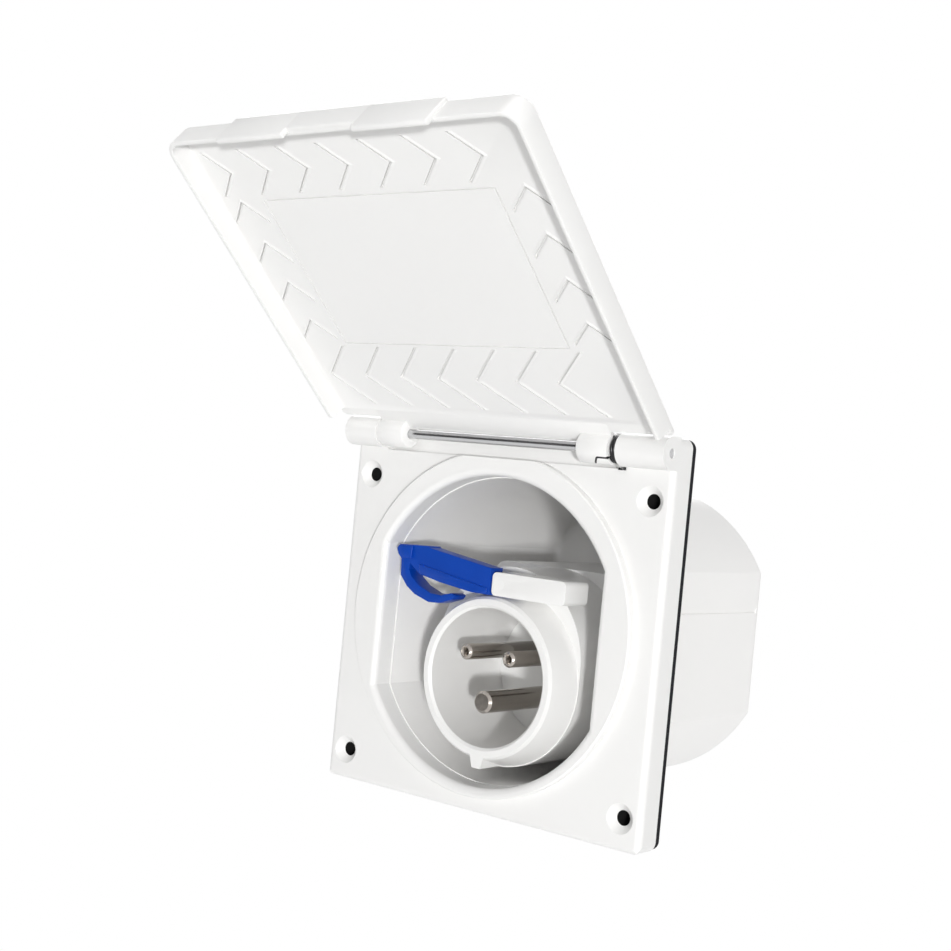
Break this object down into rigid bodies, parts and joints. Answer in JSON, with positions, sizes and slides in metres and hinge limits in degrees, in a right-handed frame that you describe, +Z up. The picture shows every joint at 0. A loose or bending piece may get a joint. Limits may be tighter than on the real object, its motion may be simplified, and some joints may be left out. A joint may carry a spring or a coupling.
{
  "type": "flush mains inlet",
  "caption": "Flush mains inlet for a caravan or boat wall: male pins in a round collar, a blue latch lever and a hinged weather lid on a square gasketed flange.",
  "frame": {"origin": "centre of the flange screw holes on the wall face, the back face of the gasket", "axes": "+Z up along the wall, +X to the right seen from the front, +Y into the wall"},
  "size_m": [0.1274, 0.2078, 0.1976],
  "materials": {
    "white_plastic": "glossy warm white moulding",
    "box_plastic": "glossy white moulding",
    "carrier_plastic": "satin white moulding",
    "black_rubber": "matt black",
    "blue_plastic": "glossy blue moulding",
    "pin_steel": "drawn bright",
    "spring_steel": "dark oiled wire",
    "screw_steel": "zinc plated",
    "plated_brass": "nickel plated, satin",
    "bare_brass": "turned bright",
    "black_plastic": "matt black moulding"
  },
  "bodies": {
    "housing": {"front_plate": "white_plastic", "back_box": "box_plastic", "wall_gasket": "black_rubber", "box_screws": "screw_steel", "hinge_pin": "pin_steel", "hinge_spring": "spring_steel", "inlet_housing": "white_plastic", "terminal_housing": "white_plastic", "latch_housing": "white_plastic", "latch_pivot": "pin_steel", "pin_carrier": "carrier_plastic", "line_pin": "plated_brass", "neutral_pin": "plated_brass", "earth_pin": "plated_brass", "line_terminal": "bare_brass", "neutral_terminal": "bare_brass", "earth_terminal": "bare_brass", "terminal_screws": "screw_steel", "carrier_screws": "screw_steel", "housing_screws": "screw_steel", "gland_body": "black_plastic", "gland_nut": "black_plastic", "gland_seal": "black_rubber", "gland_cap": "black_plastic"},
    "lid": {"lid": "white_plastic"},
    "latch": {"latch_lever": "blue_plastic"}
  },
  "joints": [
    {"name": "lid_hinge", "type": "hinge", "parent": "housing", "child": "lid", "pos_m": [0, -0.0135, 0.0601], "axis": [1, 0, 0], "range_deg": [0, 132.4]},
    {"name": "latch_pivot", "type": "hinge", "parent": "housing", "child": "latch", "pos_m": [0.004, -0.0092, 0.0158], "axis": [0, 1, 0], "range_deg": [0, 7]}
  ]
}
